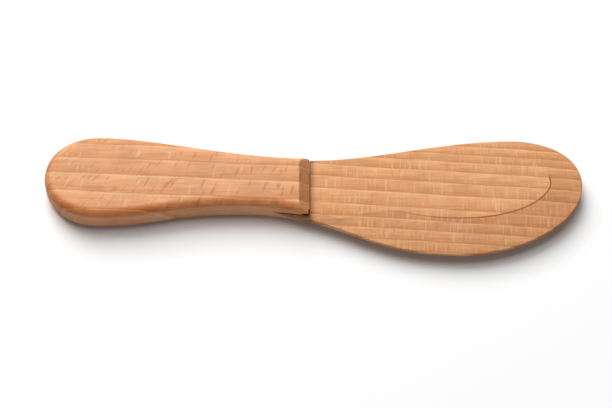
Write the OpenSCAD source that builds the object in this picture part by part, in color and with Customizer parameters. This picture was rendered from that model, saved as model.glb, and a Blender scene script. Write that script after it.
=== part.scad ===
// Wooden butter knife: a thick, round-edged handle with a thin, broad blade let into its end.
// X runs from the butt to the tip, Y from the belly to the back, and Z up from the handle's underside.
// The outline is drawn from the shoulder, where the blade leaves the handle, and moved to the middle at the end.

/* [Handle] */
// Length from the butt to the shoulder
handle_l = 81; // [65:0.5:100]
// Thickness of the handle's board
handle_t = 10.5; // [9:0.1:16]
// Width across the butt, at its fullest
butt_w = 27; // [24:0.1:34]
// Distance from the butt's end to its fullest place
butt_full = 16.5; // [12:0.1:22]
// How far the butt's end lies on the belly side of the centre line
butt_drop = 0.5; // [0:0.1:2]
// Centre line to the belly side at the waist
waist_out = 9.7; // [8:0.1:12]
// Distance from the shoulder back to the waist
waist_back = 21.8; // [16:0.1:30]
// Radius of the round-over along the edges
round_r = 2.8; // [1:0.1:4]

/* [Shoulder] */
// Centre line to the back at the shoulder
neck_back = 6.5; // [5:0.1:9]
// Centre line to the belly side at the handle's shoulder
neck_belly = 12.1; // [11:0.1:15]
// Angle at which the handle's belly side leans out at the shoulder
neck_lean = 8; // [4:1:20]
// Length of the slope on each face of the handle's end
slope_l = 3.2; // [1:0.1:6]
// Upright face left below the slope
sill_h = 0.6; // [0.2:0.1:1.2]
// Length of the open nick in the shoulder's corner on the belly side
nick_l = 2.4; // [1:0.1:4]
// Height of the nick
nick_h = 0.7; // [0.3:0.1:1.2]
// Depth of the nick
nick_d = 1.1; // [0.5:0.1:2]

/* [Blade] */
// Length from the shoulder to the tip
blade_l = 83.5; // [65:0.5:100]
// Thickness of the blade's board
blade_t = 3.7; // [3:0.1:5]
// Centre line to the belly's edge at its fullest
belly_out = 24.6; // [20:0.1:30]
// Distance from the shoulder to the belly's fullest place
belly_at = 46; // [38:0.5:52]
// Centre line to the back at its fullest
back_out = 13.1; // [9:0.1:17]
// Distance from the shoulder to the back's fullest place
back_at = 61.8; // [52:0.1:64]
// How far the tip lies on the belly side of the centre line
tip_drop = 1.2; // [0:0.1:4]

/* [Heel] */
// How far the blade's edge stands out past the handle at the shoulder
heel_out = 1.1; // [0.6:0.1:2]
// Angle at which the blade's edge leaves the shoulder
heel_lean = 15; // [12:1:24]
// Length of the wedge that runs back from the blade into the handle's belly side
heel_l = 10.6; // [6:0.1:16]
// How deep the wedge is let into the handle at the shoulder
heel_in = 2; // [1:0.1:3]

/* [Bevel] */
// Width of the bevel along the belly
bevel_w = 11.6; // [6:0.1:12]
// Width of the bevel at the tip
bevel_tip_w = 10.4; // [5:0.1:11]
// Width of the bevel at the shoulder
bevel_neck_w = 2.5; // [1:0.1:5]
// Distance from the shoulder to where the bevel starts to widen
bevel_from = 8; // [4:0.5:12]
// Length over which the bevel widens
bevel_rise = 19; // [12:0.5:26]
// Thickness left at the belly's edge
edge_t = 1.3; // [1:0.1:2.4]
// Thickness left at the edge beside the shoulder
edge_neck_t = 1.9; // [1:0.1:2.8]
// Width of the easing along the back
back_ease_w = 1.2; // [0.6:0.1:3]
// How far that easing takes each face down at the back's edge
back_ease_drop = 0.15; // [0.05:0.05:0.4]
// Small rounding on every arris of the blade
arris = 0.3; // [0.1:0.05:0.4]

/* [Tang] */
// Length of the tang in the handle
tang_l = 28; // [15:0.5:40]
// Width of the tang
tang_w = 9; // [6:0.1:10]
// How far the tang's middle lies on the belly side of the centre line
tang_drop = 2.4; // [1:0.1:3]
// Step from each face of the blade down to the tang
tang_step = 0.3; // [0.1:0.05:0.6]
// Room for glue round the tang and at its end
glue_gap = 0.1; // [0.05:0.01:0.2]
// Open joint line between the handle's end and the blade's shoulder
joint_gap = 0.2; // [0.1:0.05:0.4]

/* [Hidden] */

handle_colour = [0.86, 0.67, 0.50];
blade_colour = [0.82, 0.62, 0.45];

// Curve points between two knots, and the rings of the handle's round-over
curve_steps = 24;
waist_steps = 12;
round_steps = 6;
// What a cutting shape reaches past what it cuts
over = 3;

mid_z = handle_t / 2;
slope_drop = (handle_t - blade_t) / 2 - sill_h;
tang_t = blade_t - 2 * tang_step;
side_back = max(butt_w / 2, back_out);
side_belly = max(butt_w / 2, belly_out);
to_middle = [(handle_l - blade_l) / 2, (side_belly - side_back) / 2, 0];

// Knots of the outline, counter-clockwise seen from above. Each holds its place, the heading there in degrees,
// and how far the curve keeps to that heading before and after it, as shares of the way to the next knot.
knot_neck_back = [[0, neck_back], 180, 0.34, 0.36];
knot_butt_back = [[butt_full - handle_l, butt_w / 2], 180, 0.26, 0.44];
knot_butt = [[-handle_l, -butt_drop], 270, 0.72, 0.40];
knot_butt_belly = [[butt_full - handle_l, -butt_w / 2], 0, 0.68, 0.42];
knot_waist = [[-waist_back, -waist_out], 0, 0.52, 0.57];
knot_neck_belly = [[0, -neck_belly], -neck_lean, 0.36, 0.40];
knot_blade_neck = [[0, -neck_belly - heel_out], -heel_lean, 0.26, 0.34];
knot_belly = [[belly_at, -belly_out], 0, 0.50, 0.50];
knot_tip = [[blade_l, -tip_drop], 90, 0.54, 0.58];
knot_back = [[back_at, back_out], 180, 0.66, 0.36];

function heading(a) = [cos(a), sin(a)];
function left_of(v) = [-v.y, v.x] / norm(v);
function reach(a, span, share) = heading(a) * share * abs(heading(a) * span);

// The cubic curve from one knot to the next, as its four control points
function curve(a, b) =
    let (span = b[0] - a[0])
    [a[0], a[0] + reach(a[1], span, a[3]), b[0] - reach(b[1], span, b[2]), b[0]];

function place(c, t) =
    pow(1 - t, 3) * c[0] + 3 * pow(1 - t, 2) * t * c[1] + 3 * (1 - t) * t * t * c[2] + pow(t, 3) * c[3];

function direction(c, t) =
    pow(1 - t, 2) * (c[1] - c[0]) + 2 * (1 - t) * t * (c[2] - c[1]) + t * t * (c[3] - c[2]);

// Stations along one curve: each is a place on the outline and the unit vector that points into the wood
function stations(a, b, steps, last = false) =
    let (c = curve(a, b))
    [for (i = [0 : last ? steps : steps - 1]) [place(c, i / steps), left_of(direction(c, i / steps))]];

// A station carried on past a knot, straight along its heading
function beyond(knot, way) = [knot[0] + heading(knot[1]) * way, left_of(heading(knot[1]))];

handle_stations = concat(
    [beyond(knot_neck_back, -over)],
    stations(knot_neck_back, knot_butt_back, curve_steps + waist_steps),
    stations(knot_butt_back, knot_butt, curve_steps),
    stations(knot_butt, knot_butt_belly, curve_steps),
    stations(knot_butt_belly, knot_waist, curve_steps),
    stations(knot_waist, knot_neck_belly, waist_steps, true),
    [beyond(knot_neck_belly, over)]
);

blade_stations = concat(
    [beyond(knot_blade_neck, -heel_l - over)],
    stations(knot_blade_neck, knot_belly, curve_steps),
    stations(knot_belly, knot_tip, curve_steps),
    stations(knot_tip, knot_back, curve_steps),
    stations(knot_back, knot_neck_back, curve_steps, true),
    [beyond(knot_neck_back, over)]
);

// Closes a pile of rings, lowest first, into one solid. The rings run counter-clockwise and have equal odd counts.
// Each cap is a strip between the two halves of its ring, which meet at the ring's middle point.
module skin(rings) {
    n = len(rings[0]);
    half = (n - 1) / 2;
    top = (len(rings) - 1) * n;
    walls = [
        for (k = [0 : len(rings) - 2], i = [0 : n - 1])
        let (a = k * n + i, b = k * n + (i + 1) % n)
        each [[a, a + n, b], [b, a + n, b + n]]
    ];
    lower_cap = [
        for (i = [0 : half - 1])
        each (i < half - 1 ? [[i, i + 1, n - 1 - i], [i + 1, n - 2 - i, n - 1 - i]] : [[i, i + 1, i + 2]])
    ];
    upper_cap = [for (f = lower_cap) [top + f[0], top + f[2], top + f[1]]];
    polyhedron(points = [for (ring = rings) each ring], faces = concat(walls, lower_cap, upper_cap));
}

// One ring: every station moved into the wood by its own inset and lifted to its own height
function ring(list, insets, heights) =
    [for (i = [0 : len(list) - 1]) let (p = list[i][0] + list[i][1] * insets[i]) [p.x, p.y, heights[i]]];

function even(list, value) = [for (s = list) value];

// The handle before its end is cut: the wall stands upright between two quarter-round edges
module handle_blank() {
    turns = [for (i = [0 : round_steps]) 90 * i / round_steps];
    lower = [
        for (a = turns)
        ring(handle_stations, even(handle_stations, round_r * (1 - sin(a))),
             even(handle_stations, round_r * (1 - cos(a))))
    ];
    upper = [
        for (a = turns)
        ring(handle_stations, even(handle_stations, round_r * (1 - cos(a))),
             even(handle_stations, handle_t - round_r * (1 - sin(a))))
    ];
    skin(concat(lower, upper));
}

// All that lies past the shoulder, with a slope on the upper and the lower face
module beyond_shoulder() {
    reach_y = side_back + side_belly + 2 * over;
    translate([0, side_back + over, 0]) rotate([90, 0, 0]) linear_extrude(reach_y)
        polygon([
            [-slope_l, -over], [-slope_l, 0], [0, slope_drop], [0, handle_t - slope_drop],
            [-slope_l, handle_t], [-slope_l, handle_t + over], [2 * over, handle_t + over], [2 * over, -over]
        ]);
}

// The open nick at the foot of the slope, on the belly side, rising towards the blade
module corner_nick() {
    foot_z = handle_t - slope_drop;
    translate([-nick_l / 2, -neck_belly + nick_d / 2, foot_z - nick_h / 2])
        rotate([0, -atan2(nick_h, nick_l), 0])
            cube([nick_l, 2 * nick_d, nick_h], center = true);
}

// A block in the shoulder's end, widened on every side by the gap
module tang_block(gap) {
    translate([-tang_l - gap, -tang_drop - tang_w / 2 - gap, mid_z - tang_t / 2 - gap])
        cube([tang_l + gap + over, tang_w + 2 * gap, tang_t + 2 * gap]);
}

// The wedge's room at the shoulder: as thick as the blade there, and nothing at its far end
module heel_room(gap, past) {
    widen = blade_t / 2 / heel_l;
    back_x = -heel_l - gap / widen;
    half_t = (past - back_x) * widen;
    inner_y = heel_in - neck_belly + gap;
    translate([0, inner_y, mid_z]) rotate([90, 0, 0]) linear_extrude(side_belly)
        polygon([[back_x, 0], [past, -half_t], [past, half_t]]);
}

module handle() {
    color(handle_colour) translate(to_middle) difference() {
        handle_blank();
        beyond_shoulder();
        corner_nick();
        tang_block(glue_gap);
        heel_room(glue_gap, over);
    }
}

// A smooth step from 0 to 1
function ease(t) = let (u = min(max(t, 0), 1)) u * u * (3 - 2 * u);

function mix(a, b, share) = a + (b - a) * share;

// Width of the bevel, and how far it falls, on the belly's side of the blade
function belly_bevel(x) =
    let (widening = sin(90 * min(max((x - bevel_from) / bevel_rise, 0), 1)),
         to_tip = ease((x - belly_at) / (blade_l - belly_at)))
    [mix(mix(bevel_neck_w, bevel_w, widening), bevel_tip_w, to_tip),
     (blade_t - mix(edge_neck_t, edge_t, widening)) / 2];

// The same on the back's side, where the tip's bevel dies out into a small easing
function back_bevel(x) =
    let (to_tip = ease((x - back_at) / (blade_l - back_at)))
    [mix(back_ease_w, bevel_tip_w, to_tip), mix(back_ease_drop, (blade_t - edge_t) / 2, to_tip)];

function bevel_at(s) = s[1].y > 0 ? belly_bevel(s[0].x) : back_bevel(s[0].x);

// The blade before its end is cut: flat faces, a bevel that falls to the edge, and a small rounding on the edge
module blade_blank() {
    bevels = [for (s = blade_stations) bevel_at(s)];
    widths = [for (b = bevels) b[0]];
    arris_z = [for (b = bevels) blade_t / 2 - b[1] * (1 - arris / b[0])];
    edge_z = [for (z = arris_z) z - arris * 0.8];
    halves = [
        [widths, even(blade_stations, blade_t / 2)],
        [even(blade_stations, arris), arris_z],
        [even(blade_stations, 0), edge_z]
    ];
    lower = [for (h = halves) ring(blade_stations, h[0], [for (z = h[1]) mid_z - z])];
    upper = [for (i = [2 : -1 : 0]) ring(blade_stations, halves[i][0], [for (z = halves[i][1]) mid_z + z])];
    skin(concat(lower, upper));
}

// All that lies beyond the joint line, where the blade's shoulder starts
module beyond_joint() {
    translate([joint_gap, -2 * side_belly, -over])
        cube([blade_l + over, 2 * (side_belly + side_back), handle_t + 2 * over]);
}

module blade() {
    color(blade_colour) translate(to_middle) union() {
        intersection() {
            blade_blank();
            union() {
                beyond_joint();
                heel_room(0, joint_gap + over / 2);
            }
        }
        intersection() {
            tang_block(0);
            translate([-tang_l, -side_belly, 0]) cube([tang_l + joint_gap + over / 2, 2 * side_belly, handle_t]);
        }
    }
}

handle();
blade();
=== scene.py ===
"""Dresses the wooden butter knife: a beech handle, a beech blade, their wood, and a plain pale studio.

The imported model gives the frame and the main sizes. Both pieces are grids worked out with numpy on the same
outline as the solids, then cut where they are joined, so each replaces its own node.
"""

import logging
import math
from dataclasses import dataclass
from enum import Enum

import bmesh
import bpy
import numpy as np
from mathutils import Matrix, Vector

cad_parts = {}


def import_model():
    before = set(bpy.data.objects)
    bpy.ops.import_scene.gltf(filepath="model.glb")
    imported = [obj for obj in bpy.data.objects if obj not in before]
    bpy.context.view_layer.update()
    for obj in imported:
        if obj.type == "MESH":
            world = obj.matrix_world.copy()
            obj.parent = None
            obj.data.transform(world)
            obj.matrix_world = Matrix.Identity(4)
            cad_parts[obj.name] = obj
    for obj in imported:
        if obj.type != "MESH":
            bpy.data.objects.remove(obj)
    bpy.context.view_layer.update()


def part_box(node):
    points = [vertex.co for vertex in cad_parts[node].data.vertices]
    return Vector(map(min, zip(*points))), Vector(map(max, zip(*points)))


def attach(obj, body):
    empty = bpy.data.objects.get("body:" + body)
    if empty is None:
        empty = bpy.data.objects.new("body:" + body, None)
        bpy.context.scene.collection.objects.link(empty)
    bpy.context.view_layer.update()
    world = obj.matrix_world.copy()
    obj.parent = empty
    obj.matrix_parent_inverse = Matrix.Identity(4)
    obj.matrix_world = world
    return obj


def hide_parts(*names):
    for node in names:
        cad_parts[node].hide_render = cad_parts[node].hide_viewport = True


LOG = logging.getLogger("butter_knife")
MM = 0.001
WELD = MM * 0.001

Triple = tuple[float, float, float]


@dataclass(frozen=True)
class Frame:
    """The knife's driving sizes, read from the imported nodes, in millimetres.

    Places in the pieces' own sketches are measured from the shoulder, on the centre line.
    """

    shoulder_x: float
    centre_y: float
    handle_l: float
    handle_t: float
    butt_w: float
    blade_l: float
    blade_t: float
    belly_out: float
    back_out: float
    tang_l: float

    @classmethod
    def read(cls) -> "Frame":
        """Works the sizes out from the boxes of the two nodes."""
        handle_lo, handle_hi = (np.array(corner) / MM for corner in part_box("handle"))
        blade_lo, blade_hi = (np.array(corner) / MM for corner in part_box("blade"))
        centre_y = (handle_lo[1] + handle_hi[1]) / 2
        return cls(
            shoulder_x=handle_hi[0],
            centre_y=centre_y,
            handle_l=handle_hi[0] - handle_lo[0],
            handle_t=handle_hi[2],
            butt_w=handle_hi[1] - handle_lo[1],
            blade_l=blade_hi[0] - handle_hi[0],
            blade_t=blade_hi[2] - blade_lo[2],
            belly_out=centre_y - blade_lo[1],
            back_out=blade_hi[1] - centre_y,
            tang_l=handle_hi[0] - blade_lo[0],
        )

    @property
    def mid_z(self) -> float:
        """Half the handle's thickness."""
        return self.handle_t / 2

    @property
    def origin(self) -> np.ndarray:
        """Where the sketches' origin lies."""
        return np.array([self.shoulder_x, self.centre_y, 0.0])

    def to_world(self, points: np.ndarray) -> np.ndarray:
        """Moves sketch points from the shoulder to their place, in metres."""
        return (points + self.origin) * MM

    def to_sketch(self, points: np.ndarray) -> np.ndarray:
        """Measures places in metres from the shoulder, in millimetres."""
        return points / MM - self.origin


@dataclass(frozen=True)
class Knot:
    """A point of the outline: its place, the heading there in degrees, and how far the curve keeps to it."""

    x: float
    y: float
    heading: float
    before: float
    after: float

    def way(self) -> np.ndarray:
        """The unit vector of the heading."""
        return np.array([math.cos(math.radians(self.heading)), math.sin(math.radians(self.heading))])

    def place(self) -> np.ndarray:
        """The knot's place as an array."""
        return np.array([self.x, self.y])


def normal_of(way: np.ndarray) -> np.ndarray:
    """The unit vectors to the left of the given directions, which point into the wood."""
    left = np.stack([-way[..., 1], way[..., 0]], axis=-1)
    return left / np.linalg.norm(left, axis=-1, keepdims=True)


def outline(knots: list[Knot], steps: int, lead: float) -> tuple[np.ndarray, np.ndarray]:
    """Points and inward normals along a chain of knots, with a straight lead before and after it.

    Between two knots runs the cubic curve whose two inner control points lie on the headings, at the given shares
    of the way between the knots along each heading.

    Args:
        knots: the knots, counter-clockwise seen from above.
        steps: points on each curve.
        lead: length of the straight leads.

    Returns:
        The points and the normals, each an array of rows x, y.
    """
    places = [knots[0].place() - knots[0].way() * lead]
    normals = [normal_of(knots[0].way())]
    t = np.linspace(0, 1, steps, endpoint=False)[:, None]
    for a, b in zip(knots[:-1], knots[1:]):
        span = b.place() - a.place()
        first = a.place() + a.way() * a.after * np.linalg.norm(a.way() * span)
        second = b.place() - b.way() * b.before * np.linalg.norm(b.way() * span)
        places.extend(
            (1 - t) ** 3 * a.place() + 3 * (1 - t) ** 2 * t * first + 3 * (1 - t) * t**2 * second + t**3 * b.place()
        )
        along = (1 - t) ** 2 * (first - a.place()) + 2 * (1 - t) * t * (second - first) + t**2 * (b.place() - second)
        normals.extend(normal_of(along))
    last = knots[-1]
    places += [last.place(), last.place() + last.way() * lead]
    normals += [normal_of(last.way()), normal_of(last.way())]
    return np.array(places), np.array(normals)


def ease(t: np.ndarray) -> np.ndarray:
    """A smooth step from 0 to 1: three squares less two cubes of t, held between 0 and 1."""
    held = np.clip(t, 0, 1)
    return held * held * (3 - 2 * held)


def mix(a: float, b: float, share: np.ndarray) -> np.ndarray:
    """The value that lies the given share of the way from a to b."""
    return a + (b - a) * share


def rounded_profile(corners: list[tuple[float, float]], radii: list[float], steps: int) -> np.ndarray:
    """A chain of straight lines whose inner corners are rounded.

    At each corner an arc of the given radius touches both lines. Its points turn evenly from one line to the next
    about a centre that lies on the corner's bisector.

    Args:
        corners: the chain's points.
        radii: the radius at each inner corner.
        steps: points on each arc.

    Returns:
        The rounded chain's points.
    """
    chain = np.array(corners, float)
    rounded = [chain[0]]
    for before, corner, after, radius in zip(chain[:-2], chain[1:-1], chain[2:], radii):
        came = (corner - before) / np.linalg.norm(corner - before)
        goes = (after - corner) / np.linalg.norm(after - corner)
        turn = math.acos(float(np.clip(came @ goes, -1, 1)))
        side = math.copysign(1.0, came[0] * goes[1] - came[1] * goes[0])
        inward = side * normal_of(came)
        centre = corner - came * radius * math.tan(turn / 2) + inward * radius
        angles = np.linspace(0, turn, steps)[:, None]
        rounded.extend(centre + radius * (np.sin(angles) * came - np.cos(angles) * inward))
    rounded.append(chain[-1])
    return np.array(rounded)


def put_in_scene(name: str, data: bpy.types.ID) -> bpy.types.Object:
    """A new object in the scene that shows the given mesh, lamp or camera."""
    made = bpy.data.objects.new(name, data)
    bpy.context.scene.collection.objects.link(made)
    return made


def solid(name: str, frame: Frame, points: np.ndarray, faces: list[list[int]]) -> bpy.types.Object:
    """A closed solid, welded where its points meet, with every face turned outwards.

    Args:
        name: the new object's name.
        frame: the frame that places the sketch.
        points: rows of x, y, z in millimetres.
        faces: the points of each face.

    Returns:
        The object, at the world origin.
    """
    mesh = bpy.data.meshes.new(name)
    mesh.from_pydata(frame.to_world(points), [], faces)
    work = bmesh.new()
    work.from_mesh(mesh)
    bmesh.ops.remove_doubles(work, verts=work.verts, dist=WELD)
    bmesh.ops.recalc_face_normals(work, faces=work.faces)
    work.to_mesh(mesh)
    work.free()
    return put_in_scene(name, mesh)


class Skin:
    """Collects grids of points into one closed mesh."""

    def __init__(self) -> None:
        """Starts with no points and no faces."""
        self.points: list[np.ndarray] = []
        self.faces: list[np.ndarray] = []
        self.count = 0

    def add(self, grid: np.ndarray) -> None:
        """Adds one grid of points, joined by four-sided faces.

        Args:
            grid: an array of rows by columns by three, in millimetres.
        """
        rows, columns = grid.shape[:2]
        index = self.count + np.arange(rows * columns).reshape(rows, columns)
        quads = np.stack([index[:-1, :-1], index[1:, :-1], index[1:, 1:], index[:-1, 1:]], axis=-1)
        self.points.append(grid.reshape(-1, 3))
        self.faces.append(quads.reshape(-1, 4))
        self.count += rows * columns

    def build(self, name: str, frame: Frame) -> bpy.types.Object:
        """Joins the grids where they meet and turns every face outwards.

        Args:
            name: the new object's name.
            frame: the frame that places the sketch.

        Returns:
            The object, at the world origin.
        """
        return solid(name, frame, np.concatenate(self.points), np.concatenate(self.faces).tolist())


def prism(name: str, frame: Frame, outline_points: np.ndarray, sweep: np.ndarray) -> bpy.types.Object:
    """A closed solid that carries a flat outline along a straight way.

    Args:
        name: the new object's name.
        frame: the frame that places the sketch.
        outline_points: the outline's corners, rows of x, y, z in millimetres.
        sweep: the way, x, y, z in millimetres.

    Returns:
        The object.
    """
    count = len(outline_points)
    ring = np.arange(count)
    walls = np.stack([ring, np.roll(ring, -1), np.roll(ring, -1) + count, ring + count], axis=-1).tolist()
    faces = [*walls, ring[::-1].tolist(), (ring + count).tolist()]
    return solid(name, frame, np.concatenate([outline_points, outline_points + sweep]), faces)


def block(name: str, frame: Frame, low: Triple, high: Triple) -> bpy.types.Object:
    """A box between two corners, in millimetres from the shoulder."""
    x, y, z = low
    foot = np.array([[x, y, z], [high[0], y, z], [high[0], high[1], z], [x, high[1], z]])
    return prism(name, frame, foot, np.array([0, 0, high[2] - z]))


class Cut(Enum):
    """How one solid is worked by another."""

    AWAY = "DIFFERENCE"
    KEEP = "INTERSECT"
    JOIN = "UNION"


def work_solid(piece: bpy.types.Object, tool: bpy.types.Object, cut: Cut) -> None:
    """Cuts or joins a solid with another, which is then removed.

    Args:
        piece: the solid that is worked.
        tool: the solid that it is worked with.
        cut: the way of working.
    """
    modifier = piece.modifiers.new(tool.name, "BOOLEAN")
    modifier.operation = cut.value
    modifier.solver = "EXACT"
    modifier.object = tool
    bpy.context.view_layer.update()
    worked = bpy.data.meshes.new_from_object(piece.evaluated_get(bpy.context.evaluated_depsgraph_get()))
    piece.modifiers.remove(modifier)
    plain = piece.data
    piece.data = worked
    worked.name = piece.name
    bpy.data.meshes.remove(plain)
    bpy.data.objects.remove(tool)


def finish_mesh(piece: bpy.types.Object, crease: float) -> None:
    """Shades a mesh smoothly, and leaves it sharp where two faces meet at more than the given angle."""
    piece.data.polygons.foreach_set("use_smooth", np.ones(len(piece.data.polygons), dtype=bool))
    piece.data.set_sharp_from_angle(angle=math.radians(crease))


def store(piece: bpy.types.Object, name: str, values: np.ndarray) -> None:
    """Keeps one number for each point of a mesh, for its material to read."""
    attribute = piece.data.attributes.new(name, "FLOAT", "POINT")
    attribute.data.foreach_set("value", values.astype(np.float32))


def at_points(piece: bpy.types.Object, kind: str) -> np.ndarray:
    """A vector of each point of a mesh: "co" for its place, or "normal"."""
    flat = np.empty(len(piece.data.vertices) * 3)
    piece.data.vertices.foreach_get(kind, flat)
    return flat.reshape(-1, 3)


@dataclass(frozen=True)
class Joint:
    """The glued joint between the two pieces, in millimetres."""

    tang_w: float = 9.0
    tang_drop: float = 2.4
    tang_step: float = 0.3
    glue_gap: float = 0.01
    joint_gap: float = 0.2
    heel_out: float = 1.1
    heel_lean: float = 15.0
    heel_l: float = 10.6
    heel_in: float = 2.0
    neck_back: float = 6.5
    neck_belly: float = 12.1
    groove: float = 0.3
    groove_gap: float = 0.02
    past: float = 3.0

    def tang(self, frame: Frame, gap: float) -> bpy.types.Object:
        """The tang, or with a gap the room cut for it.

        Args:
            frame: the knife's sizes.
            gap: how far the block is widened on every side.

        Returns:
            The block as an object.
        """
        half_t = frame.blade_t / 2 - self.tang_step + gap
        half_w = self.tang_w / 2 + gap
        right = self.past if gap else self.joint_gap + self.past / 2
        return block(
            "tang",
            frame,
            (-frame.tang_l - gap, -self.tang_drop - half_w, frame.mid_z - half_t),
            (right, -self.tang_drop + half_w, frame.mid_z + half_t),
        )

    def heel(self, frame: Frame, gap: float) -> bpy.types.Object:
        """The wedge's room: as thick as the blade at the shoulder, and nothing at its far end.

        Args:
            frame: the knife's sizes.
            gap: how far the wedge is widened on every side.

        Returns:
            The wedge as an object.
        """
        widen = frame.blade_t / 2 / self.heel_l
        back_x = -self.heel_l - gap / widen
        right = self.past if gap else self.joint_gap + self.past / 2
        half_t = (right - back_x) * widen
        inner_y = self.heel_in - self.neck_belly + gap
        side = np.array(
            [
                [back_x, inner_y, frame.mid_z],
                [right, inner_y, frame.mid_z - half_t],
                [right, inner_y, frame.mid_z + half_t],
            ]
        )
        return prism("heel", frame, side, np.array([0, -frame.belly_out, 0]))

    def glue_line(self, frame: Frame) -> bpy.types.Object:
        """The part of the blade's end that meets the handle: all but a narrow groove round the outside.

        Args:
            frame: the knife's sizes.

        Returns:
            The block as an object.
        """
        half_t = frame.blade_t / 2 - self.groove
        return block(
            "glue_line",
            frame,
            (self.groove_gap, self.groove - self.neck_belly, frame.mid_z - half_t),
            (self.joint_gap + self.past / 2, self.neck_back - self.groove, frame.mid_z + half_t),
        )


@dataclass(frozen=True)
class Handle:
    """The handle: a board rounded over along its edges, sloped on both faces at its end."""

    frame: Frame
    joint: Joint
    butt_full: float = 16.5
    butt_drop: float = 0.5
    waist_out: float = 9.7
    waist_back: float = 21.8
    round_r: float = 2.8
    neck_lean: float = 8.0
    slope_l: float = 3.2
    sill_h: float = 0.6
    slope_soft: float = 0.6
    sill_soft: float = 0.15
    corner_soft: float = 0.35
    nick_l: float = 2.4
    nick_h: float = 0.7
    nick_d: float = 1.1
    curve_steps: int = 400
    length_steps: int = 170
    round_steps: int = 18
    wall_steps: int = 8
    face_steps: int = 30
    corner_steps: int = 4
    crease: float = 35.0

    def side(self, belly: bool) -> tuple[np.ndarray, np.ndarray]:
        """One side of the outline, from the butt's end to past the shoulder.

        Args:
            belly: True for the belly's side, False for the back's.

        Returns:
            The points and the inward normals.
        """
        f, full = self.frame, self.butt_full - self.frame.handle_l
        butt = Knot(-f.handle_l, -self.butt_drop, 270, 0.72, 0.40)
        if belly:
            knots = [
                butt,
                Knot(full, -f.butt_w / 2, 0, 0.68, 0.42),
                Knot(-self.waist_back, -self.waist_out, 0, 0.52, 0.57),
                Knot(0, -self.joint.neck_belly, -self.neck_lean, 0.36, 0.40),
            ]
            points, normals = outline(knots, self.curve_steps, self.joint.past)
            return points[1:], normals[1:]
        knots = [
            Knot(0, self.joint.neck_back, 180, 0.34, 0.36),
            Knot(full, f.butt_w / 2, 180, 0.26, 0.44),
            butt,
        ]
        points, normals = outline(knots, self.curve_steps, self.joint.past)
        return points[-2::-1], normals[-2::-1]

    def end_profile(self) -> np.ndarray:
        """The end seen from the side, from the underside up: slope, upright face and slope, with eased arrises."""
        f = self.frame
        drop = (f.handle_t - f.blade_t) / 2 - self.sill_h
        corners = [
            (-self.slope_l - self.slope_soft, 0),
            (-self.slope_l, 0),
            (0, drop),
            (0, f.handle_t - drop),
            (-self.slope_l, f.handle_t),
            (-self.slope_l - self.slope_soft, f.handle_t),
        ]
        radii = [self.slope_soft, self.sill_soft, self.sill_soft, self.slope_soft]
        return rounded_profile(corners, radii, 2 * self.round_steps)[1:-1]

    def levels(self) -> tuple[np.ndarray, np.ndarray]:
        """Inset and height of each ring, from the underside up.

        A quarter circle takes the inset from the round-over's radius to nothing, the wall keeps it at nothing, and
        a second quarter circle takes it back.
        """
        angle = np.linspace(0, math.pi / 2, self.round_steps)
        rise = self.round_r * (1 - np.cos(angle))
        inset = self.round_r * (1 - np.sin(angle))
        wall = np.linspace(self.round_r, self.frame.handle_t - self.round_r, self.wall_steps)[1:-1]
        height = np.concatenate([rise, wall, self.frame.handle_t - rise[::-1]])
        return np.concatenate([inset, 0 * wall, inset[::-1]]), height

    def blank(self) -> bpy.types.Object:
        """The handle before its joint is cut.

        Each level is the outline moved inwards by its inset and stopped at the end's profile. A level's points run
        from the butt's end to the shoulder along both sides, at even shares of the outline's length, then round a
        small arc into the end face. The two flat faces join the sides by straight chords.
        """
        inset, height = self.levels()
        profile = self.end_profile()
        end_x = np.interp(height, profile[:, 1], profile[:, 0])
        arc = np.linspace(0, math.pi / 4, self.corner_steps)
        soft = self.corner_soft
        belly_points, _ = self.side(True)
        length = np.cumsum(np.r_[0, np.linalg.norm(np.diff(belly_points, axis=0), axis=1)])
        in_reach = belly_points[:, 0] <= 0
        even = np.interp(
            np.linspace(0, length[in_reach][-1], self.length_steps), length[in_reach], belly_points[in_reach, 0]
        )
        share = (even - even[0]) / (even[-1] - even[0])
        sides = []
        for belly in (True, False):
            points, normals = self.side(belly)
            towards_middle = 1 if belly else -1
            rows = []
            for level_inset, level_z, level_end in zip(inset, height, end_x):
                moved = points + normals * level_inset
                x = mix(moved[0, 0], level_end - soft, share)
                x = np.concatenate([x[:-1], level_end - soft + soft * np.sin(arc)])
                y = np.interp(x, moved[:, 0], moved[:, 1])
                y[-self.corner_steps:] += towards_middle * soft * (1 - np.cos(arc))
                rows.append(np.stack([x, y, np.full_like(x, level_z)], axis=-1))
            sides.append(np.array(rows))
        belly_wall, back_wall = sides
        around = np.linspace(math.pi / 4, math.pi / 2, self.corner_steps)
        straight = np.linspace(0, 1, self.face_steps)
        end_rows = []
        for k, level_end in enumerate(end_x):
            start, stop = belly_wall[k, -1], back_wall[k, -1]
            low = start[1] - soft * (1 - math.cos(math.pi / 4))
            high = stop[1] + soft * (1 - math.cos(math.pi / 4))
            rise = soft * (1 - np.cos(around))
            x = level_end - soft + soft * np.sin(around)
            y = np.concatenate([low + rise[:-1], mix(low + soft, high - soft, straight), (high - rise[:-1])[::-1]])
            x = np.concatenate([x[:-1], np.full(self.face_steps, level_end), x[:-1][::-1]])
            end_rows.append(np.stack([x, y, np.full_like(x, height[k])], axis=-1))
        end_face = np.array(end_rows)
        skin = Skin()
        for wall in (belly_wall, back_wall, end_face):
            skin.add(wall)
        for k in (0, -1):
            row = end_face[k]
            across = ((row[:, 1] - row[0, 1]) / (row[-1, 1] - row[0, 1]))[None, :, None]
            chords = mix(belly_wall[k][:, None], back_wall[k][:, None], across)
            skin.add(np.concatenate([chords, row[None]]))
        return skin.build("handle_wood", self.frame)

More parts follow.
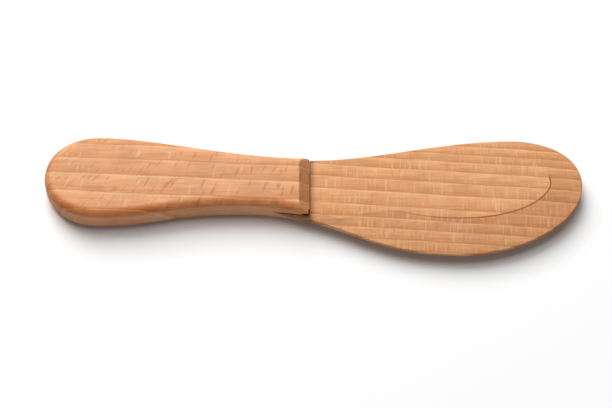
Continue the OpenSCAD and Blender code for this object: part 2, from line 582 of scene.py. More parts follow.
    def nick_middle(self) -> tuple[np.ndarray, float]:
        """The middle of the nick's block, with its height from the handle's middle, and its tilt in radians."""
        foot_z = self.frame.blade_t / 2 + self.sill_h
        y = -self.joint.neck_belly + self.nick_d / 2
        return np.array([-self.nick_l / 2, y, foot_z - self.nick_h / 2]), math.atan2(self.nick_h, self.nick_l)

    def nick(self) -> bpy.types.Object:
        """The open nick at the foot of the slope on the belly side: a thin block tilted up towards the blade."""
        middle, tilt = self.nick_middle()
        middle += np.array([0, 0, self.frame.mid_z])
        way = np.array([math.cos(tilt), 0, math.sin(tilt)])
        up = np.array([-math.sin(tilt), 0, math.cos(tilt)])
        corners = [
            middle + way * self.nick_l / 2 * a + up * self.nick_h / 2 * b - np.array([0, self.nick_d, 0])
            for a, b in ((-1, -1), (1, -1), (1, 1), (-1, 1))
        ]
        return prism("nick", self.frame, np.array(corners), np.array([0, 2 * self.nick_d, 0]))

    def build(self) -> bpy.types.Object:
        """Makes the handle: the blank, less the tang's room, the wedge's room and the nick."""
        piece = self.blank()
        work_solid(piece, self.joint.tang(self.frame, self.joint.glue_gap), Cut.AWAY)
        work_solid(piece, self.joint.heel(self.frame, self.joint.glue_gap), Cut.AWAY)
        work_solid(piece, self.nick(), Cut.AWAY)
        finish_mesh(piece, self.crease)
        return piece


@dataclass(frozen=True)
class Blade:
    """The blade: a thin board with a bevel along the belly and round the tip, a tang and a heel."""

    frame: Frame
    joint: Joint
    belly_at: float = 46.0
    back_at: float = 61.8
    tip_drop: float = 1.2
    bevel_w: float = 11.6
    bevel_tip_w: float = 9.7
    bevel_neck_w: float = 2.5
    bevel_from: float = 8.0
    bevel_rise: float = 19.0
    edge_t: float = 1.3
    edge_neck_t: float = 1.9
    back_ease_w: float = 1.2
    back_ease_drop: float = 0.15
    arris: float = 0.3
    arris_share: float = 0.8
    spine_out: float = -5.0
    spine_end: float = 20.0
    curve_steps: int = 600
    length_steps: int = 220
    arris_steps: int = 4
    edge_steps: int = 4
    bevel_steps: int = 12
    face_steps: int = 16
    crease: float = 35.0

    def side(self, belly: bool) -> tuple[np.ndarray, np.ndarray]:
        """One side of the outline, from before the shoulder to the tip.

        Args:
            belly: True for the belly's side, False for the back's.

        Returns:
            The points and the inward normals.
        """
        f, lead = self.frame, self.joint.heel_l + self.joint.past
        tip = Knot(f.blade_l, -self.tip_drop, 90, 0.54, 0.58)
        if belly:
            knots = [
                Knot(0, -self.joint.neck_belly - self.joint.heel_out, -self.joint.heel_lean, 0.26, 0.34),
                Knot(self.belly_at, -f.belly_out, 0, 0.50, 0.50),
                tip,
            ]
            points, normals = outline(knots, self.curve_steps, lead)
            return points[:-1], normals[:-1]
        knots = [tip, Knot(self.back_at, f.back_out, 180, 0.66, 0.36), Knot(0, self.joint.neck_back, 180, 0.34, 0.36)]
        points, normals = outline(knots, self.curve_steps, lead)
        return points[:0:-1], normals[:0:-1]

    def bevel(self, x: np.ndarray, belly: bool) -> tuple[np.ndarray, np.ndarray]:
        """Width of the bevel and how far it falls, at places along one side.

        On the belly's side the width grows by a quarter sine from the shoulder and eases to the tip's. On the
        back's side the tip's bevel dies out into a small easing.

        Args:
            x: the places along the blade.
            belly: True for the belly's side, False for the back's.

        Returns:
            The widths and the falls.
        """
        f = self.frame
        if belly:
            widening = np.sin(math.pi / 2 * np.clip((x - self.bevel_from) / self.bevel_rise, 0, 1))
            to_tip = ease((x - self.belly_at) / (f.blade_l - self.belly_at))
            width = mix(mix(self.bevel_neck_w, self.bevel_w, widening), self.bevel_tip_w, to_tip)
            return width, (f.blade_t - mix(self.edge_neck_t, self.edge_t, widening)) / 2
        to_tip = ease((x - self.back_at) / (f.blade_l - self.back_at))
        fall = (f.blade_t - self.edge_t) / 2
        return mix(self.back_ease_w, self.bevel_tip_w, to_tip), mix(self.back_ease_drop, fall, to_tip)

    def stations(self, belly: bool) -> tuple[np.ndarray, np.ndarray]:
        """Places and normals on one side at the same lengths along X, closer together towards the tip.

        The lengths follow a sine over the last part, so that the steps along the round tip stay even.
        """
        points, normals = self.side(belly)
        share = np.linspace(0, 1, self.length_steps)
        start = -self.joint.heel_l - self.joint.past / 2
        x = mix(start, self.frame.blade_l, np.sin(share * math.pi / 2))
        return (
            np.stack([x, np.interp(x, points[:, 0], points[:, 1])], axis=-1),
            np.stack([np.interp(x, points[:, 0], normals[:, i]) for i in (0, 1)], axis=-1),
        )

    def spine(self, x: np.ndarray) -> np.ndarray:
        """The line inside the blade on which the two halves of a face meet: it stops short of the tip."""
        last = self.frame.blade_l - self.spine_end
        bend = last - self.spine_end
        over = np.clip((x - bend) / (self.frame.blade_l - bend), 0, 1)
        along = np.where(x < bend, x, bend + (last - bend) * (1 - (1 - over) ** 2))
        return np.stack([along, np.full_like(along, self.spine_out)], axis=-1)

    def half_section(self, belly: bool) -> np.ndarray:
        """The upper half of one side as a grid: the edge's middle, its arris, the bevel, and the flat to the spine.

        Returns:
            An array of stations by steps by three, with heights above the blade's middle.
        """
        places, normals = self.stations(belly)
        width, fall = self.bevel(places[:, 0], belly)
        half_t, a = self.frame.blade_t / 2, self.arris
        arris_z = half_t - fall * (1 - a / width)
        edge_z = arris_z - self.arris_share * a
        turn = np.linspace(0, math.pi / 2, self.arris_steps)[1:]
        upright = np.linspace(0, 1, self.edge_steps)
        inset = [np.zeros_like(width)] * self.edge_steps
        lift = [edge_z * u for u in upright]
        inset += [np.full_like(width, a * (1 - math.cos(t))) for t in turn]
        lift += [mix(edge_z, arris_z, math.sin(t)) for t in turn]
        for share in ease(np.linspace(0, 1, self.bevel_steps))[1:]:
            inset.append(mix(a, width, share))
            lift.append(mix(arris_z, half_t, share))
        inset, lift = np.stack(inset, axis=1), np.stack(lift, axis=1)
        moved = places[:, None] + normals[:, None] * inset[:, :, None]
        flat_share = np.linspace(0, 1, self.face_steps)[1:, None]
        flat = mix(moved[:, -1:], self.spine(places[:, 0])[:, None], flat_share)
        plan = np.concatenate([moved, flat], axis=1)
        lift = np.concatenate([lift, np.full(flat.shape[:2], half_t)], axis=1)
        return np.concatenate([plan, lift[:, :, None]], axis=2)

    def blank(self) -> bpy.types.Object:
        """The blade before its end is cut: four quarter skins and a plain wall across the end."""
        skin = Skin()
        raised = np.array([0, 0, self.frame.mid_z])
        under = np.array([1, 1, -1])
        ends = []
        for belly in (True, False):
            upper = self.half_section(belly)
            skin.add(upper + raised)
            skin.add(upper * under + raised)
            ends.append(np.stack([upper[0] * under + raised, upper[0] + raised]))
        for end in ends:
            skin.add(end)
        return skin.build("blade_wood", self.frame)

    def build(self) -> bpy.types.Object:
        """Makes the blade: the blank, cut off at the joint but for the heel, with its tang."""
        f = self.frame
        piece = self.blank()
        wide = 2 * (f.belly_out + f.back_out)
        kept = block(
            "beyond_joint",
            f,
            (self.joint.joint_gap, -wide, -self.joint.past),
            (f.blade_l + self.joint.past, wide, f.handle_t + self.joint.past),
        )
        work_solid(kept, self.joint.heel(f, 0), Cut.JOIN)
        work_solid(kept, self.joint.glue_line(f), Cut.JOIN)
        work_solid(piece, kept, Cut.KEEP)
        work_solid(piece, self.joint.tang(f, 0), Cut.JOIN)
        finish_mesh(piece, self.crease)
        return piece


Colour = tuple[float, float, float, float]
Socket = bpy.types.NodeSocket
Sockets = dict[str, Socket]
Feed = Socket | float | tuple[float, ...]
WARM_GREEN, WARM_BLUE = 1.35, 1.7


def paint(red: int, green: int, blue: int) -> Colour:
    """A colour in the eye's steps of 0 to 255, turned into light: each share is raised to the power of 2.2."""
    return tuple((step / 255) ** 2.2 for step in (red, green, blue)) + (1.0,)


def grey(amount: float) -> Colour:
    """A plain grey, which a strip of stops also uses to carry a number."""
    return (amount,) * 3 + (1.0,)


class Bench:
    """Lays nodes in one shader tree and joins them."""

    def __init__(self, tree: bpy.types.NodeTree) -> None:
        """Takes the tree to work in."""
        self.tree = tree

    def put(self, kind: str, inputs: dict[int | str, Feed], **settings: object) -> bpy.types.Node:
        """Adds a node.

        Args:
            kind: the node's type, without its common prefix.
            inputs: what feeds each input, another node's output or a value.
            **settings: the node's own settings.

        Returns:
            The node.
        """
        node = self.tree.nodes.new("ShaderNode" + kind)
        for name, setting in settings.items():
            setattr(node, name, setting)
        for key, value in inputs.items():
            if isinstance(value, Socket):
                self.tree.links.new(value, node.inputs[key])
            else:
                node.inputs[key].default_value = value
        return node

    def calc(self, operation: str, *values: Feed) -> Socket:
        """A Math node's result."""
        return self.put("Math", dict(enumerate(values)), operation=operation).outputs[0]

    def times(self, first: Feed, second: Feed) -> Socket:
        """The product of two numbers."""
        return self.calc("MULTIPLY", first, second)

    def stored(self, name: str) -> Socket:
        """The number that a mesh keeps for each point under a name."""
        return self.put("Attribute", {}, attribute_name=name).outputs["Fac"]

    def split(self, vector: Feed) -> tuple[Socket, ...]:
        """The three parts of a vector."""
        return tuple(self.put("SeparateXYZ", {0: vector}).outputs)

    def join(self, x: Feed, y: Feed, z: Feed) -> Socket:
        """A vector made of three parts."""
        return self.put("CombineXYZ", {0: x, 1: y, 2: z}).outputs[0]

    def scaled(self, parts: tuple[Feed, ...], per_mm: tuple[float, ...]) -> Socket:
        """A vector for noise that has the given number of lumps on a millimetre of each part."""
        return self.join(*(self.times(part, rate) for part, rate in zip(parts, per_mm)))

    def noise(self, vector: Feed, detail: float, roughness: float = 0.5) -> Socket:
        """Soft noise between 0 and 1 whose lumps are about one unit of the vector wide."""
        inputs = {"Vector": vector, "Scale": 1.0, "Detail": detail, "Roughness": roughness}
        return self.put("TexNoise", inputs).outputs[0]

    def rise(self, value: Feed, start: Feed, end: Feed, low: Feed = 0.0, high: Feed = 1.0) -> Socket:
        """A smooth step from low to high while the value goes from start to end."""
        inputs = {0: value, 1: start, 2: end, 3: low, 4: high}
        return self.put("MapRange", inputs, interpolation_type="SMOOTHSTEP").outputs[0]

    def share(self, value: Feed, start: float, end: float) -> Socket:
        """How far the value has come on an even way from start to end."""
        return self.put("MapRange", {0: value, 1: start, 2: end, 3: 0.0, 4: 1.0}).outputs[0]

    def tint(self, wood: Socket, shade: Socket) -> Socket:
        """Wood times a shade. Green and blue take powers of the shade, so that dark goes redder."""
        green, blue = (self.calc("POWER", shade, power) for power in (WARM_GREEN, WARM_BLUE))
        return self.blend(1.0, wood, self.join(shade, green, blue), "MULTIPLY")

    def blend(self, share: Feed, first: Feed, second: Feed, way: str = "MIX") -> Socket:
        """Two colours mixed by a share."""
        return self.put("Mix", {0: share, 6: first, 7: second}, data_type="RGBA", blend_type=way).outputs[2]

    def ramp(self, value: Feed, stops: list[tuple[float, Colour]], way: str = "LINEAR") -> Socket:
        """A colour read off a strip of stops, each at its place from 0 to 1."""
        node = self.put("ValToRGB", {0: value})
        strip = node.color_ramp
        strip.interpolation = way
        strip.elements[0].position, strip.elements[0].color = stops[0]
        strip.elements[1].position, strip.elements[1].color = stops[-1]
        for place, colour in stops[1:-1]:
            strip.elements.new(place).color = colour
        return node.outputs[0]


class Group:
    """A shared effect: a node group with named inputs and outputs, built once and placed in each material."""

    def __init__(self, name: str, inputs: dict[str, str], outputs: list[str]) -> None:
        """Makes the empty group.

        Args:
            name: the effect's name.
            inputs: each input's name and socket type.
            outputs: the names of the outputs, which are plain numbers.
        """
        self.tree = bpy.data.node_groups.new(name, "ShaderNodeTree")
        for label, kind in inputs.items():
            self.tree.interface.new_socket(label, in_out="INPUT", socket_type=kind)
        for label in outputs:
            self.tree.interface.new_socket(label, in_out="OUTPUT", socket_type="NodeSocketFloat")
        self.bench = Bench(self.tree)
        self.given = self.tree.nodes.new("NodeGroupInput").outputs
        self.result = self.tree.nodes.new("NodeGroupOutput").inputs

    def end(self, **results: Socket) -> None:
        """Leads the results to the group's outputs."""
        for label, socket in results.items():
            self.tree.links.new(socket, self.result[label])

    def place(self, bench: Bench, inputs: dict[str, Feed]) -> bpy.types.bpy_prop_collection:
        """Places the group in a material and returns its outputs."""
        return bench.put("Group", inputs, node_tree=self.tree).outputs


NUMBER, VECTOR = "NodeSocketFloat", "NodeSocketVector"


def ring_place_group(wander_per_mm: Triple = (1 / 26, 1 / 9, 1.0)) -> Group:
    """How far across the tree a point lies, in mm.

    It is y, plus the fall of the rings along x, plus their tilt along z, plus a slow wander that is long along the
    grain.
    """
    group = Group("ring_place", {"Place": VECTOR, "Fall": NUMBER, "Tilt": NUMBER, "Wander": NUMBER}, ["Across"])
    bench, given = group.bench, group.given
    x, y, z = bench.split(given["Place"])
    slow = bench.noise(bench.scaled((x, y, z), wander_per_mm), 1.0)
    sway = bench.times(bench.calc("SUBTRACT", slow, 0.5), given["Wander"])
    straight = bench.calc("MULTIPLY_ADD", x, given["Fall"], bench.calc("MULTIPLY_ADD", z, given["Tilt"], y))
    group.end(Across=bench.calc("ADD", straight, sway))
    return group


def ray_group(
    patch_per_mm: Triple = (1 / 7, 1 / 5, 1.0), ring_shift: float = 7.3, patch_gain: float = 0.22, soft: float = 0.12
) -> Group:
    """Ray flecks: narrow dashes that stand across the rings and lean over.

    Noise is read at x less the lean times y, over the dash's width, and at y over its height, and moved on for
    each ring, so that a dash ends with its ring. Only its highest crests, in the patches where a broader noise is
    high, are dashes.

    Args:
        patch_per_mm: patches on a millimetre of each part.
        ring_shift: how far the noise moves on from ring to ring.
        patch_gain: how much a patch lowers the limit for a dash.
        soft: how far a crest rises from the limit to a full dash.

    Returns:
        The group.
    """
    inputs = {"Place": VECTOR, "Ring": NUMBER, "Lean": NUMBER, "Width": NUMBER, "Height": NUMBER, "Rarity": NUMBER}
    group = Group("ray_flecks", inputs, ["Dash"])
    bench, given = group.bench, group.given
    x, y, _ = bench.split(given["Place"])
    upright = bench.calc("SUBTRACT", x, bench.times(y, given["Lean"]))
    spot = bench.join(
        bench.calc("DIVIDE", upright, given["Width"]),
        bench.calc("DIVIDE", y, given["Height"]),
        bench.times(given["Ring"], ring_shift),
    )
    crest = bench.noise(spot, 1.0, 0.35)
    patch = bench.noise(bench.scaled((x, y, given["Ring"]), patch_per_mm), 0.0)
    limit = bench.calc("SUBTRACT", given["Rarity"], bench.times(patch, patch_gain))
    group.end(Dash=bench.rise(crest, limit, bench.calc("ADD", limit, soft)))
    return group


def grain_group(
    streak_per_mm: Triple = (1 / 11, 1.6, 1.0),
    pore_per_mm: Triple = (1 / 1.1, 5.5, 5.5),
    ring_shift: float = 3.1,
    pore_crest: tuple[float, float] = (0.62, 0.72),
) -> Group:
    """Fine grain: long soft streaks, and short dark pores.

    Both are noise read far slower along x than across it. The pores are the crests of the finer one.

    Args:
        streak_per_mm: streaks on a millimetre of each part.
        pore_per_mm: pores on a millimetre of each part.
        ring_shift: how far the streaks move on from ring to ring.
        pore_crest: where the noise starts to be a pore, and where it is one in full.

    Returns:
        The group.
    """
    group = Group("fine_grain", {"Place": VECTOR, "Ring": NUMBER}, ["Streak", "Pore"])
    bench, given = group.bench, group.given
    x, y, z = bench.split(given["Place"])
    shift = bench.times(given["Ring"], ring_shift)
    streak = bench.noise(bench.scaled((x, y, bench.calc("ADD", z, shift)), streak_per_mm), 3.0, 0.6)
    pores = bench.noise(bench.scaled((x, y, z), pore_per_mm), 1.0)
    group.end(Streak=streak, Pore=bench.rise(pores, *pore_crest))
    return group


@dataclass(frozen=True)
class Figure:
    """The shared effects of the wood, built once."""

    ring_place: Group
    rays: Group
    grain: Group

    @classmethod
    def make(cls) -> "Figure":
        """Builds the three node groups."""
        return cls(ring_place_group(), ray_group(), grain_group())


@dataclass(frozen=True)
class Facing:
    """How each point of a piece faces: up or down, and along the grain."""

    flat: str = "facing_flat"
    end: str = "facing_end"

    def measure(self, piece: bpy.types.Object) -> None:
        """Keeps the size of the surface normal's z, 1 on the faces, and of its x, 1 on end grain."""
        normals = at_points(piece, "normal")
        store(piece, self.flat, np.abs(normals[:, 2]))
        store(piece, self.end, np.abs(normals[:, 0]))


FACING = Facing()


@dataclass(frozen=True)
class Beech:
    """Bare beech as one piece shows it. Lengths are in millimetres.

    The ring lines are counted across the piece's upper face, which lies at the height `face` above the middle.
    """

    name: str
    lines: tuple[float, ...]
    face: float
    fall: float
    tilt: float
    wander: float
    line_paint: Colour
    late_paint: Colour
    middle_paint: Colour
    early_paint: Colour
    light_paint: Colour
    dash_paint: Colour
    dash_share: float
    dash_width: float
    dash_height: float
    dash_rarity: float
    lean: tuple[tuple[float, float], ...]
    shine_share: float
    shine_width: float
    shine_rarity: float
    rough: float
    end_tone: Colour = (0.82, 0.72, 0.62, 1.0)
    line_soft: float = 0.12
    margin: float = 3.0
    paint_places: tuple[float, ...] = (0.0, 0.05, 0.45, 0.9, 1.0)
    noise_span: tuple[float, float] = (0.3, 0.7)
    streak_tones: tuple[float, float] = (0.9, 1.08)
    ring_tones: tuple[float, float] = (0.965, 1.03)
    blotch_tones: tuple[float, float] = (0.95, 1.05)
    blotch_per_mm: Triple = (1 / 6, 1 / 3, 1.0)
    shine_shift: float = 4.0
    shine_lean: float = 0.4
    shine_height: float = 1.3
    rays_from: float = 0.16
    rays_to: float = 0.8
    face_span: tuple[float, float] = (0.35, 0.85)
    end_span: tuple[float, float] = (0.15, 0.7)
    pore_share: float = 0.22
    ring_relief: float = 0.55
    streak_relief: float = 0.25
    dash_relief: float = 0.35
    shine_relief: float = 0.25
    streak_rough: float = 0.16
    relief_strength: float = 0.6
    relief_depth: float = 0.06
    specular: float = 0.25

    def ring_phase(self, bench: Bench, across: Socket) -> tuple[Socket, Socket]:
        """Where a point lies in its ring, and a number of its own for each ring.

        The phase is 0 just behind a ring's dark line and grows evenly to 1 at the light line before the next. Both
        are strips with stops at the ring lines.

        Returns:
            The phase and the ring's number, both from 0 to 1.
        """
        low, high = self.lines[0] - self.margin, self.lines[-1] + self.margin
        share = bench.share(across, low, high)
        phase_stops, number_stops = [(0.0, grey(0.4))], [(0.0, grey(0.37))]
        for count, line in enumerate(self.lines):
            before, after = ((line + side * self.line_soft - low) / (high - low) for side in (-1, 1))
            phase_stops += [(before, grey(1.0)), (after, grey(0.0))]
            number_stops.append(((before + after) / 2, grey((0.618 * (count + 1)) % 1)))
        phase_stops.append((1.0, grey(0.6)))
        number_stops.append((1.0, grey(0.5)))
        return bench.ramp(share, phase_stops), bench.ramp(share, number_stops, "CONSTANT")

    def make(self, frame: Frame, figure: Figure) -> tuple[bpy.types.Material, Bench, Sockets]:
        """Builds the wood: ring colours, ray flecks, light ripples, grain and pores, with a shallow relief.

        Args:
            frame: the knife's sizes, which centre the pattern.
            figure: the shared effects.

        Returns:
            The material, its bench, and the sockets that later marks go on from.
        """
        material = bpy.data.materials.new(self.name)
        material.use_nodes = True
        bench = Bench(material.node_tree)
        around = bench.put("TexCoord", {}).outputs["Object"]
        shift = (-frame.shoulder_x, -frame.centre_y, -frame.mid_z)
        place = bench.put("Mapping", {"Vector": around, "Location": shift, "Scale": (1 / MM,) * 3}).outputs[0]
        x, y, _ = bench.split(place)
        inputs = {"Place": place, "Fall": self.fall, "Tilt": self.tilt, "Wander": self.wander}
        across = figure.ring_place.place(bench, inputs)["Across"]
        across = bench.calc("SUBTRACT", across, self.tilt * self.face)
        phase, ring = self.ring_phase(bench, across)
        paints = (self.line_paint, self.late_paint, self.middle_paint, self.early_paint, self.light_paint)
        wood = bench.ramp(phase, list(zip(self.paint_places, paints)))
        grain = figure.grain.place(bench, {"Place": place, "Ring": ring})
        wood = bench.tint(wood, bench.rise(grain["Streak"], *self.noise_span, *self.streak_tones))
        wood = bench.tint(wood, bench.rise(ring, 0.0, 1.0, *self.ring_tones))
        start, end = self.lean[0][0], self.lean[-1][0]
        lean_stops = [((at - start) / (end - start), grey(amount)) for at, amount in self.lean]
        lean = bench.ramp(bench.share(x, start, end), lean_stops)
        shine_ring = bench.calc("ADD", ring, self.shine_shift)
        shine_lean = bench.times(lean, self.shine_lean)
        shine_height = self.dash_height * self.shine_height
        facing = bench.rise(bench.stored(FACING.flat), *self.face_span)
        inside = bench.times(bench.rise(phase, 0.0, self.rays_from), bench.rise(phase, 1.0, self.rays_to))
        inside = bench.times(inside, facing)
        flecks = []
        for number, leaning, width, height, rarity in (
            (ring, lean, self.dash_width, self.dash_height, self.dash_rarity),
            (shine_ring, shine_lean, self.shine_width, shine_height, self.shine_rarity),
        ):
            inputs = {"Place": place, "Ring": number, "Lean": leaning}
            inputs |= {"Width": width, "Height": height, "Rarity": rarity}
            flecks.append(bench.times(figure.rays.place(bench, inputs)["Dash"], inside))
        dash, shine = flecks
        wood = bench.blend(bench.times(shine, self.shine_share), wood, self.light_paint)
        wood = bench.blend(bench.times(dash, self.dash_share), wood, self.dash_paint)
        wood = bench.blend(bench.times(grain["Pore"], self.pore_share), wood, self.line_paint)
        blotch = bench.noise(bench.scaled((x, y, ring), self.blotch_per_mm), 2.0)
        wood = bench.tint(wood, bench.rise(blotch, *self.noise_span, *self.blotch_tones))
        ends = bench.blend(1.0, wood, self.end_tone, "MULTIPLY")
        wood = bench.blend(bench.rise(bench.stored(FACING.end), *self.end_span), wood, ends)
        height = bench.times(grain["Streak"], self.streak_relief)
        height = bench.calc("MULTIPLY_ADD", phase, self.ring_relief, height)
        height = bench.calc("SUBTRACT", height, bench.times(dash, self.dash_relief))
        height = bench.calc("MULTIPLY_ADD", shine, self.shine_relief, height)
        rough = bench.calc("MULTIPLY_ADD", grain["Streak"], self.streak_rough, self.rough)
        return material, bench, {"wood": wood, "height": height, "rough": rough, "place": place, "x": x, "y": y}

    def finish(self, material: bpy.types.Material, bench: Bench, sockets: Sockets) -> None:
        """Leads colour, roughness and relief into the material's shader."""
        shader = material.node_tree.nodes["Principled BSDF"]
        relief = {"Height": sockets["height"], "Strength": self.relief_strength, "Distance": self.relief_depth * MM}
        bump = bench.put("Bump", relief)
        links = material.node_tree.links
        links.new(sockets["wood"], shader.inputs["Base Color"])
        links.new(sockets["rough"], shader.inputs["Roughness"])
        links.new(bump.outputs[0], shader.inputs["Normal"])
        shader.inputs["Specular IOR Level"].default_value = self.specular


HANDLE_BEECH = Beech(
    name="handle_beech",
    lines=(-25.0, -19.6, -14.2, -8.65, -2.6, 2.7, 7.5, 12.6, 18.0),
    face=5.25,
    fall=0.045,
    tilt=0.16,
    wander=0.9,
    line_paint=paint(186, 122, 78),
    late_paint=paint(205, 142, 97),
    middle_paint=paint(213, 152, 107),
    early_paint=paint(218, 159, 115),
    light_paint=paint(232, 179, 135),
    dash_paint=paint(178, 106, 60),
    dash_share=0.5,
    dash_width=1.0,
    dash_height=4.6,
    dash_rarity=0.72,
    lean=((-80.0, 1.0), (-45.0, 0.62), (-20.0, 0.28), (0.0, 0.12)),
    shine_share=0.5,
    shine_width=0.9,
    shine_rarity=0.74,
    rough=0.56,
)
BLADE_BEECH = Beech(
    name="blade_beech",
    lines=(-25.3, -21.8, -18.3, -14.8, -11.5, -7.5, -2.65, 1.55, 5.4, 8.8, 11.5, 14.2, 16.7),
    face=1.85,
    fall=0.066,
    tilt=0.3,
    wander=0.8,
    line_paint=paint(170, 106, 64),
    late_paint=paint(198, 135, 88),
    middle_paint=paint(209, 149, 101),
    early_paint=paint(216, 158, 110),
    light_paint=paint(230, 174, 126),
    dash_paint=paint(204, 120, 58),
    dash_share=0.4,
    dash_width=0.7,
    dash_height=7.0,
    dash_rarity=0.71,
    lean=((0.0, 0.06), (84.0, -0.04)),
    shine_share=0.55,
    shine_width=0.48,
    shine_rarity=0.7,
    rough=0.58,
)


@dataclass(frozen=True)
class BevelMark:
    """The bevel's thin dark line, part dirt and part painted shade, with painted shade on the bevel beyond it."""

    name: str = "from_bevel"
    width: float = 0.38
    core: float = 0.1
    depth: float = 1.2
    border: tuple[float, float] = (0.2, -0.4)
    strengths: tuple[float, float] = (0.15, 0.95)
    mark_paint: Colour = paint(142, 76, 38)
    bevel_shade: float = 0.93
    starts: tuple[float, float] = (12.0, 58.0)
    deeper: tuple[float, float] = (54.0, 76.0)
    deeper_by: float = 0.04
    ends: tuple[float, float] = (1.8, 0.6)
    chunks: int = 16

    def measure(self, piece: bpy.types.Object, blade: Blade) -> None:
        """Keeps each point's distance to the bevel's upper border, positive on the flat.

        The border is the outline moved inwards by the bevel's width. Each point finds the nearest border point,
        and the inward normal there gives the sign.
        """
        border, inward = [], []
        for belly in (True, False):
            places, normals = blade.stations(belly)
            width, _ = blade.bevel(places[:, 0], belly)
            border.append(places + normals * width[:, None])
            inward.append(normals)
        border, inward = np.concatenate(border), np.concatenate(inward)
        points = blade.frame.to_sketch(at_points(piece, "co"))[:, :2]
        away = np.empty(len(points))
        for chunk in np.array_split(np.arange(len(points)), self.chunks):
            apart = points[chunk][:, None] - border[None]
            nearest = np.argmin((apart**2).sum(axis=2), axis=1)
            away[chunk] = (apart[np.arange(len(chunk)), nearest] * inward[nearest]).sum(axis=1)
        store(piece, self.name, away)

    def add(self, bench: Bench, sockets: Sockets) -> None:
        """Draws the line and the bevel's painted shade over the wood."""
        away = bench.stored(self.name)
        off = bench.calc("ABSOLUTE", away)
        strength = bench.rise(sockets["x"], *self.starts, *self.strengths)
        strength = bench.times(strength, bench.rise(sockets["y"], *self.ends))
        line = bench.times(bench.rise(off, self.width, self.width * self.core), strength)
        flat, beyond = self.border
        # Painted shade on the bevel beyond the line, a little deeper towards the tip.
        darkest = bench.calc("MULTIPLY_ADD", strength, self.bevel_shade - 1, 1.0)
        deeper = bench.rise(sockets["x"], *self.deeper, 0.0, self.deeper_by)
        shade = bench.rise(away, beyond, flat, darkest, 1.0)
        shade = bench.calc("SUBTRACT", shade, bench.times(bench.rise(away, flat, beyond), deeper))
        sockets["wood"] = bench.blend(line, bench.tint(sockets["wood"], shade), self.mark_paint)
        sockets["height"] = bench.calc("MULTIPLY_ADD", line, -self.depth, sockets["height"])


@dataclass(frozen=True)
class CornerShade:
    """Painted shade: a darker strip on the blade along the shoulder's foot, where the shoulder shades the corner."""

    reach: float = 2.4
    tone: Colour = (0.5, 0.44, 0.42, 1.0)

    def add(self, bench: Bench, sockets: Sockets) -> None:
        """Paints shade on the wood next to the shoulder, darkest at the joint itself."""
        dark = bench.blend(1.0, sockets["wood"], self.tone, "MULTIPLY")
        sockets["wood"] = bench.blend(bench.rise(sockets["x"], self.reach, 0.0), sockets["wood"], dark)


@dataclass(frozen=True)
class NickShade:
    """Painted shade: the inside of the small nick at the shoulder's near corner, painted near black."""

    past: float = 0.04
    tone: Colour = paint(52, 22, 10)

    def add(self, bench: Bench, sockets: Sockets, handle: Handle) -> None:
        """Paints near-black shade on what lies inside the nick's own tilted block.

        The place is turned by the block's tilt and measured from its middle. A point is inside where each of the
        three distances is under half the block's side and a hair more.
        """
        middle, tilt = handle.nick_middle()
        ends = {0: sockets["place"], 1: tuple(middle)}
        from_middle = bench.put("VectorMath", ends, operation="SUBTRACT").outputs[0]
        turned = bench.put("VectorRotate", {"Vector": from_middle, "Angle": tilt}, rotation_type="Y_AXIS").outputs[0]
        inside = None
        for part, side in zip(bench.split(turned), (handle.nick_l, 2 * handle.nick_d, handle.nick_h)):
            half = side / 2 + self.past
            near = bench.calc("LESS_THAN", bench.calc("ABSOLUTE", part), half)
            inside = near if inside is None else bench.times(inside, near)
        sockets["wood"] = bench.blend(inside, sockets["wood"], self.tone)


@dataclass(frozen=True)
class BellyEdgeShade:
    """Painted shade: a deeper, redder tone on the handle's rounded edge along the belly, which faces away from the
    lamps.
    """

    name: str = "belly_edge_shade"
    tone: Colour = (0.93, 0.62, 0.38, 1.0)
    mottle: float = 0.45
    mottle_span: tuple[float, float] = (0.2, 0.7)
    mottle_per_mm: Triple = (1 / 3.2, 1 / 2.5, 1.0)
    full: float = 0.9

    def measure(self, piece: bpy.types.Object) -> None:
        """Keeps how round the belly's edge is at each point.

        It is twice the product of the surface's lean to the belly and its lean to the nearer face, so it is 1 where
        the surface lies half way between them and 0 on the flats and the walls.
        """
        normals = at_points(piece, "normal")
        store(piece, self.name, np.clip(-2 * normals[:, 1], 0, 2) * np.abs(normals[:, 2]))

    def add(self, bench: Bench, sockets: Sockets) -> None:
        """Paints the shade there, unevenly."""
        patch = bench.noise(bench.scaled((sockets["x"], sockets["y"], 0.0), self.mottle_per_mm), 1.0)
        uneven = bench.rise(patch, *self.mottle_span, 1 - self.mottle, 1.0)
        share = bench.times(bench.rise(bench.stored(self.name), 0.0, self.full), uneven)
        deep = bench.blend(1.0, sockets["wood"], self.tone, "MULTIPLY")
        sockets["wood"] = bench.blend(share, sockets["wood"], deep)


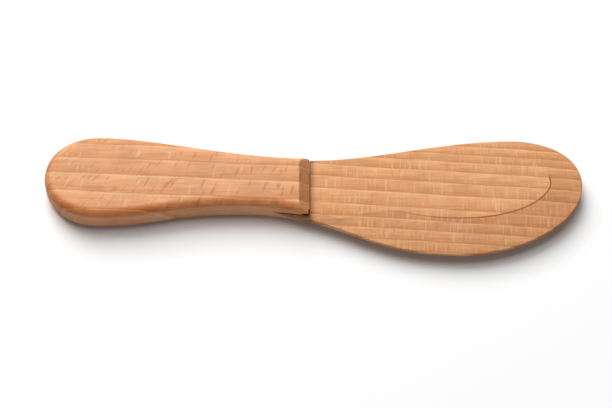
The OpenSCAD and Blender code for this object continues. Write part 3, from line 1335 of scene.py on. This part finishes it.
@dataclass(frozen=True)
class Studio:
    """A pale floor, soft light and the camera, in metres."""

    camera_elevation: float = 65.0
    camera_distance: float = 0.8
    aim: Triple = (-0.00233, 0.00056, 0.0)
    focal_pixels: float = 2600.0
    image_width: float = 612.0
    sensor: float = 36.0
    floor_size: float = 3.0
    floor_paint: float = 0.9
    floor_rough: float = 0.9
    floor_glow: float = 0.03
    world_light: float = 0.1
    key_place: Triple = (-0.42, 0.85, 1.1)
    key_size: float = 1.0
    key_power: float = 20.6
    top_place: Triple = (-0.12, 0.29, 1.46)
    top_size: float = 0.8
    top_power: float = 9.2

    def camera(self) -> None:
        """Makes the camera: it looks along +Y, down at the given elevation, at the knife's middle."""
        data = bpy.data.cameras.new("camera")
        data.sensor_width = self.sensor
        data.lens = self.focal_pixels / self.image_width * self.sensor
        made = put_in_scene("camera", data)
        angle = math.radians(self.camera_elevation)
        made.location = (
            self.aim[0],
            self.aim[1] - self.camera_distance * math.cos(angle),
            self.aim[2] + self.camera_distance * math.sin(angle),
        )
        made.rotation_euler = (math.pi / 2 - angle, 0, 0)
        bpy.context.scene.camera = made

    def floor_material(self) -> bpy.types.Material:
        """Matt near-white. What the camera, a gloss or clear glass sees of it is lifted to white by a faint glow."""
        material = bpy.data.materials.new("floor_paint")
        material.use_nodes = True
        shader = material.node_tree.nodes["Principled BSDF"]
        shader.inputs["Base Color"].default_value = grey(self.floor_paint)
        shader.inputs["Roughness"].default_value = self.floor_rough
        shader.inputs["Specular IOR Level"].default_value = 0.0
        shader.inputs["Emission Color"].default_value = (1, 1, 1, 1)
        bench = Bench(material.node_tree)
        rays = bench.put("LightPath", {}).outputs
        seen = bench.calc("MAXIMUM", rays["Is Camera Ray"], rays["Is Glossy Ray"])
        seen = bench.calc("MAXIMUM", seen, rays["Is Transmission Ray"])
        material.node_tree.links.new(bench.times(seen, self.floor_glow), shader.inputs["Emission Strength"])
        return material

    def build(self) -> None:
        """Makes the camera, the floor, the world's light and the two lamps."""
        self.camera()
        bpy.ops.mesh.primitive_plane_add(size=self.floor_size)
        floor = bpy.context.object
        floor.name = "floor"
        floor.data.materials.append(self.floor_material())
        world = bpy.data.worlds.new("studio")
        world.use_nodes = True
        world.node_tree.nodes["Background"].inputs["Color"].default_value = (1, 1, 1, 1)
        world.node_tree.nodes["Background"].inputs["Strength"].default_value = self.world_light
        bpy.context.scene.world = world
        self.lamp("key", self.key_place, self.key_size, self.key_power)
        self.lamp("top", self.top_place, self.top_size, self.top_power)
        bpy.context.scene.view_settings.view_transform = "Standard"

    def lamp(self, name: str, place: Triple, size: float, power: float) -> None:
        """Hangs a square soft lamp that points at the knife.

        Args:
            name: the lamp's name.
            place: where it hangs, in metres.
            size: its side.
            power: its power in watts.
        """
        data = bpy.data.lights.new(name, "AREA")
        data.shape = "SQUARE"
        data.size = size
        data.energy = power
        made = put_in_scene(name, data)
        made.location = place
        made.rotation_euler = (-made.location).to_track_quat("-Z", "Y").to_euler()


def main() -> None:
    """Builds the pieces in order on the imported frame, dresses them and lights them."""
    logging.basicConfig(level=logging.INFO, format="%(name)s: %(message)s")
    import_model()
    frame = Frame.read()
    joint = Joint()
    Studio().build()
    figure = Figure.make()
    handle = Handle(frame, joint)
    handle_piece = handle.build()
    material, bench, sockets = HANDLE_BEECH.make(frame, figure)
    # The handle's rounded edge along the belly gets painted shade.
    belly_edge_shade = BellyEdgeShade()
    belly_edge_shade.measure(handle_piece)
    belly_edge_shade.add(bench, sockets)
    # The nick gets near-black painted shade.
    NickShade().add(bench, sockets, handle)
    HANDLE_BEECH.finish(material, bench, sockets)
    handle_piece.data.materials.append(material)
    blade = Blade(frame, joint)
    blade_piece = blade.build()
    material, bench, sockets = BLADE_BEECH.make(frame, figure)
    mark = BevelMark()
    mark.measure(blade_piece, blade)
    mark.add(bench, sockets)
    # The blade next to the shoulder gets painted shade.
    CornerShade().add(bench, sockets)
    BLADE_BEECH.finish(material, bench, sockets)
    blade_piece.data.materials.append(material)
    for piece in (handle_piece, blade_piece):
        FACING.measure(piece)
    for piece, node, slot in ((handle_piece, "handle", "handle_wood"), (blade_piece, "blade", "blade_wood")):
        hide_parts(node)
        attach(piece, "root")
        LOG.info("%s: %d points, %d faces", piece.name, len(piece.data.vertices), len(piece.data.polygons))


if __name__ == "__main__":
    main()
